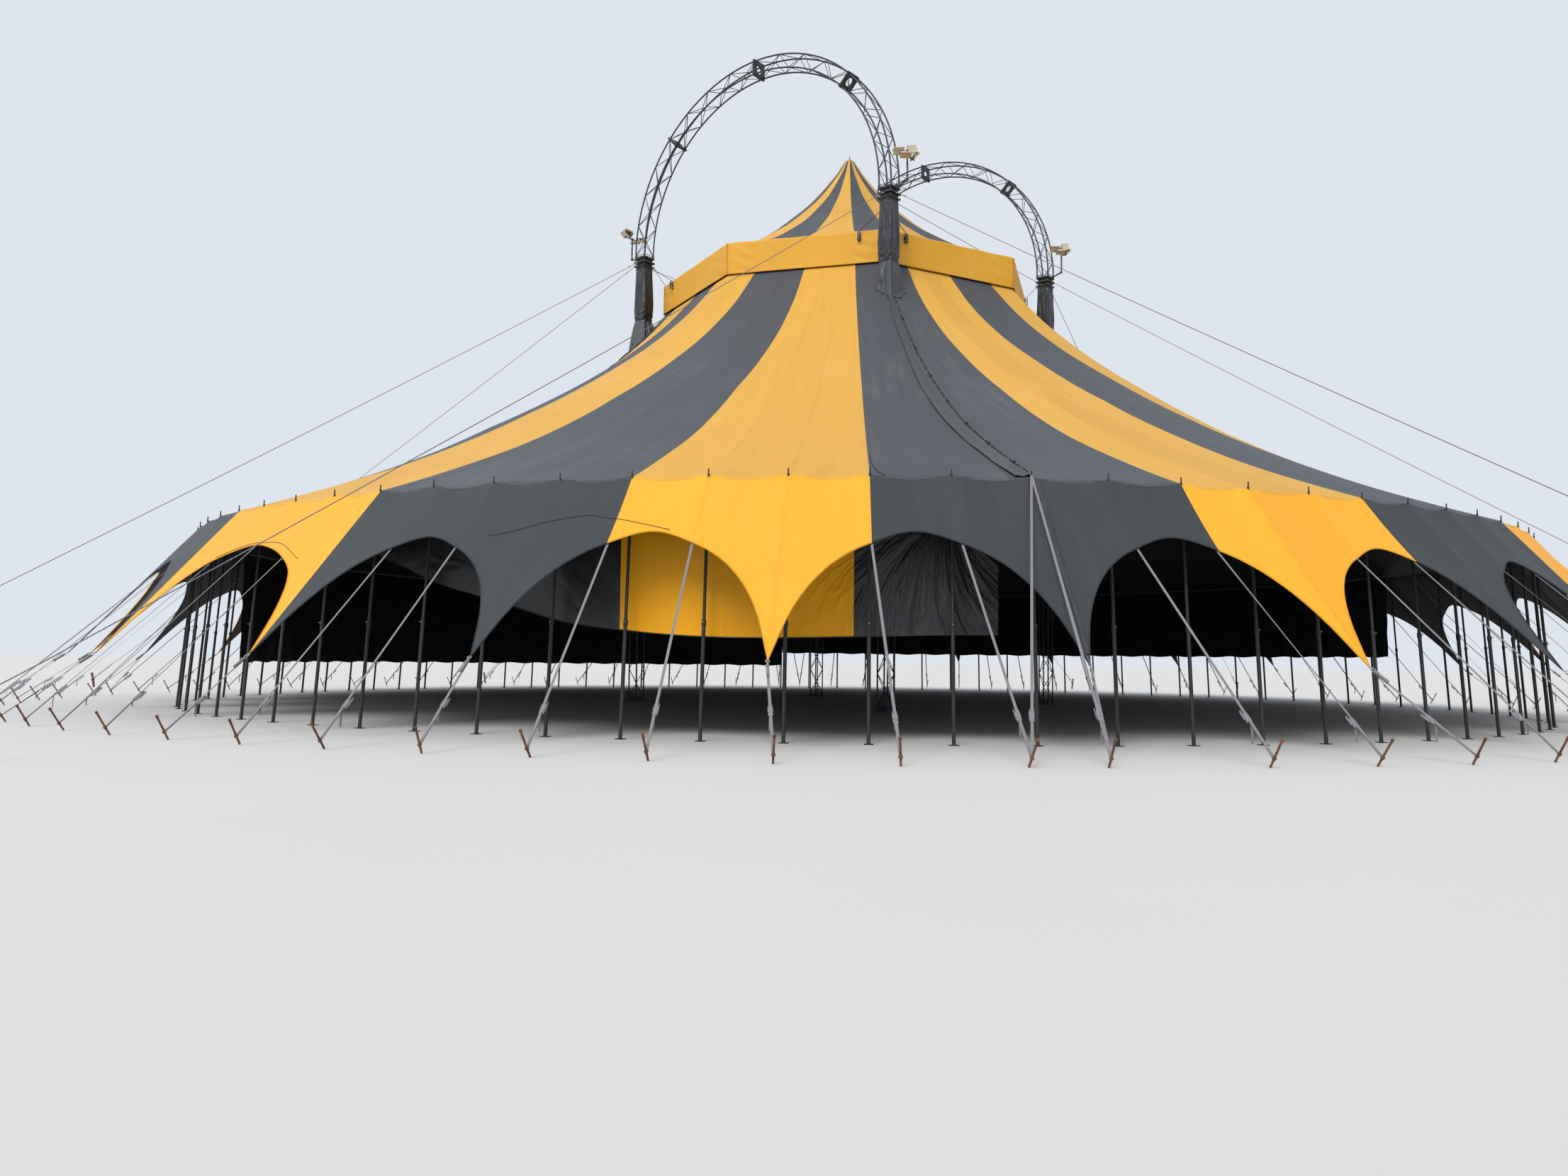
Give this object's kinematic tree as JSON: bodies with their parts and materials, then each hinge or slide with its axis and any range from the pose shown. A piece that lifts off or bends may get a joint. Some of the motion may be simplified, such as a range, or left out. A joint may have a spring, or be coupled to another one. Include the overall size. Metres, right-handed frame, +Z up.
{
  "type": "circus tent, 1:2 scale model",
  "caption": "Scale model at 1:2 of a round striped circus big top with lattice masts, twin lattice arches, crown cap, scalloped awning, side poles and guy cables.",
  "frame": {"origin": "middle of the tent on the floor", "axes": "+Z up, the two arches run along X, the front of the tent looks along -Y"},
  "size_m": [30.85, 31.3, 11.2525],
  "materials": {
    "canvas_yellow": "satin",
    "canvas_dark": "satin",
    "sleeve_black": "glossy",
    "pole_steel": "worn",
    "truss_steel": "satin",
    "lamp_body": "satin",
    "cable": "matte",
    "block_black": "matte"
  },
  "bodies": {
    "root": {"roof_canvas_1": "canvas_yellow", "roof_canvas_2": "canvas_yellow", "roof_canvas_3": "canvas_yellow", "roof_canvas_4": "canvas_yellow", "awning_1": "canvas_yellow", "awning_2": "canvas_yellow", "awning_3": "canvas_yellow", "awning_4": "canvas_yellow", "side_poles_1": "pole_steel", "side_poles_2": "pole_steel", "side_poles_3": "pole_steel", "side_poles_4": "pole_steel", "valance": "canvas_yellow", "crown_ring": "truss_steel", "crown_cap": "canvas_yellow", "cap_finial": "truss_steel", "mast_1": "truss_steel", "mast_2": "truss_steel", "mast_3": "truss_steel", "mast_4": "truss_steel", "mast_head_1": "block_black", "mast_head_2": "block_black", "mast_head_3": "block_black", "mast_head_4": "block_black", "mast_sleeve_1": "sleeve_black", "mast_sleeve_2": "sleeve_black", "mast_sleeve_3": "sleeve_black", "mast_sleeve_4": "sleeve_black", "arch_front": "truss_steel", "arch_back": "truss_steel", "guy_cables_1": "cable", "guy_cables_2": "cable", "guy_cables_3": "cable", "guy_cables_4": "cable", "head_stay_right": "cable", "head_stay_left": "cable", "hoist_blocks_1": "block_black", "hoist_blocks_2": "block_black", "hoist_blocks_3": "block_black", "hoist_blocks_4": "block_black", "roof_lacing_1": "canvas_dark", "roof_lacing_2": "canvas_dark", "roof_lacing_3": "canvas_dark", "roof_lacing_4": "canvas_dark", "floodlights_1": "lamp_body", "floodlights_2": "lamp_body", "floodlights_3": "lamp_body", "floodlights_4": "lamp_body", "side_curtain_front": "canvas_dark", "side_curtain_back": "canvas_dark", "side_curtain_left": "canvas_dark"}
  },
  "joints": []
}
